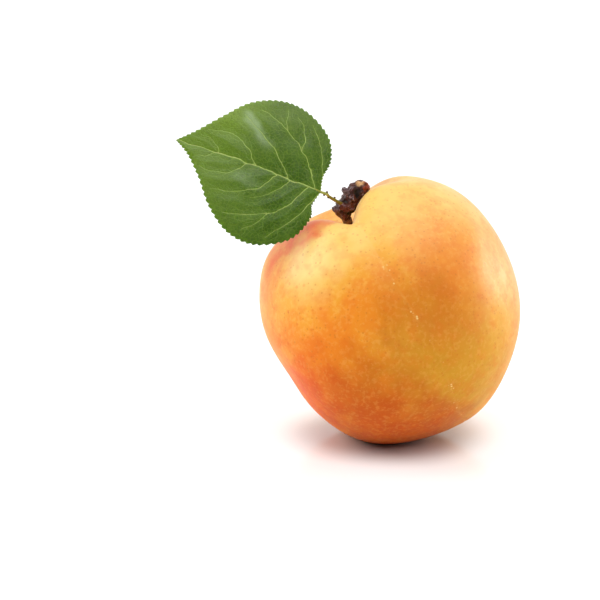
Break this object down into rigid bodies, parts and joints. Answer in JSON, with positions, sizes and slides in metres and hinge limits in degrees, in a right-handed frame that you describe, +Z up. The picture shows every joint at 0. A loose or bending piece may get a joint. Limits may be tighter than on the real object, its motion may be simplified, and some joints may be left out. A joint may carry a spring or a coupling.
{
  "type": "apricot",
  "caption": "Ripe whole apricot with a suture down its side, a stub of fruiting spur in its stem cavity and a small serrate green leaf. Rests on its flat underside.",
  "frame": {"origin": "middle of the small flat spot on the underside that the fruit rests on", "axes": "+Z up, the stem cavity on top leaning towards -X, -Y towards the suture, the leaf over the -X side"},
  "size_m": [0.0752, 0.0568, 0.0744],
  "materials": {
    "fruit_skin": "velvety yellow-orange skin with a red-orange blush",
    "spur_bark": "dark maroon bark, weathered grey at the edges",
    "bud_scale": "grey-brown bud scales",
    "pedicel_bark": "brown corky stalk",
    "petiole_green": "smooth yellow-green stalk",
    "gland_brown": "dark brown glossy gland",
    "leaf_green": "satin green leaf with pale veins"
  },
  "bodies": {
    "root": {"fruit": "fruit_skin", "pedicel": "pedicel_bark", "spur": "spur_bark", "upper_bud": "bud_scale", "lower_bud": "bud_scale", "petiole": "petiole_green", "petiole_gland_1": "gland_brown", "petiole_gland_2": "gland_brown", "petiole_gland_3": "gland_brown", "petiole_gland_4": "gland_brown", "leaf_blade": "leaf_green"}
  },
  "joints": []
}
